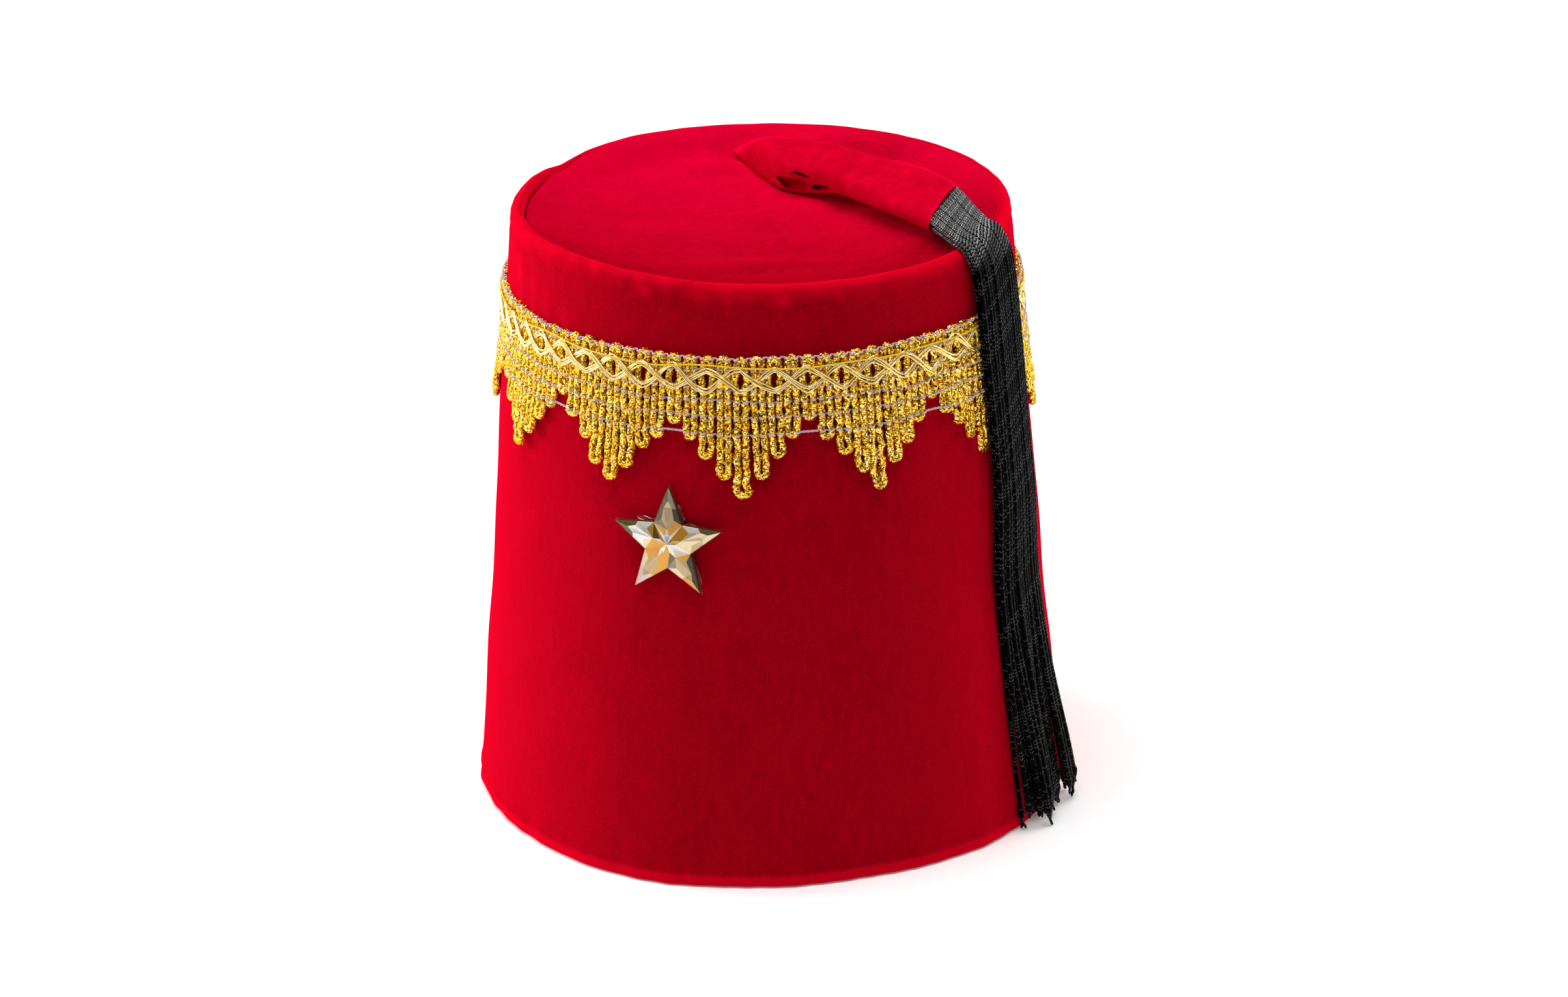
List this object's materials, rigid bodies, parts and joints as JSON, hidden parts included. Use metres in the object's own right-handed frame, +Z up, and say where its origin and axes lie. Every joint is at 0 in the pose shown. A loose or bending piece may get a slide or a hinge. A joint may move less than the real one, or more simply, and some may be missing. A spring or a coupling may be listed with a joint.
{
  "type": "fez hat",
  "caption": "Tall tapered velvet fez with a sunken crown, a folded sleeve that carries a cord tassel over the rim, a scalloped metallic trim and a cut star stone.",
  "frame": {"origin": "bottom centre of the box round the hat, on the surface that it stands on; the hat's own axis stands 4.7 mm to the left of it, because the tassel widens the box on the right", "axes": "+Z up, front (the side with the star) towards -Y, +X to the viewer's right, where the tassel hangs"},
  "size_m": [0.195, 0.1854, 0.1979],
  "materials": {
    "wall_velvet": "matte velvet pile",
    "crown_velvet": "matte velvet pile",
    "black_cord": "satin",
    "gold_yarn": "glittering",
    "cut_stone": "polished"
  },
  "bodies": {
    "root": {"side_wall": "wall_velvet", "crown_top": "crown_velvet", "tassel_sleeve": "crown_velvet", "tassel": "black_cord", "gold_trim": "gold_yarn", "star_stone": "cut_stone"}
  },
  "joints": []
}
